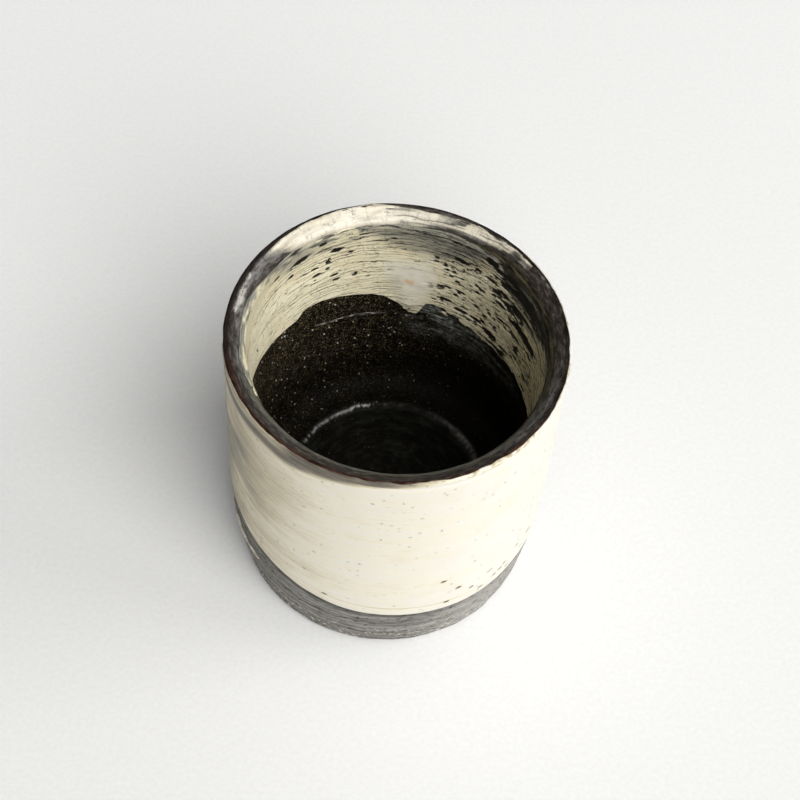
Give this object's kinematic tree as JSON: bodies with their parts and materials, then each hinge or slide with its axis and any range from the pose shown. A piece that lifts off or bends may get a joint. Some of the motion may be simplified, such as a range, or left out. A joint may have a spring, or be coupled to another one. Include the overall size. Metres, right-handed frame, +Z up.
{
  "type": "sake cup",
  "caption": "Straight-sided hand-thrown sake cup in dark stoneware, with white brushed slip inside and out, a bevelled lip, a sunk floor and a bare trimmed foot.",
  "frame": {"origin": "middle of the foot ring's flat underside, on the table", "axes": "+Z up along the cup's axis; +Y to the back, where the slip is left on the lip; +X to the right"},
  "size_m": [0.0608, 0.0608, 0.0625],
  "materials": {
    "clay": "dark sandy stoneware, glossy inside under clear glaze, matte on the bare foot",
    "outer_slip": "brushed cream-white slip under thin satin glaze",
    "inner_slip": "brushed cream slip with dark hair lines under clear glaze",
    "lip_slip": "thick glossy white slip with fine crackle",
    "glaze": "thick milky glaze run",
    "stroke": "thin stray strokes of slip"
  },
  "bodies": {
    "root": {"clay_body": "clay", "outer_slip": "outer_slip", "inner_slip": "inner_slip", "lip_slip": "lip_slip", "glaze_run": "glaze", "foot_stroke": "stroke", "inner_stroke": "stroke"}
  },
  "joints": []
}
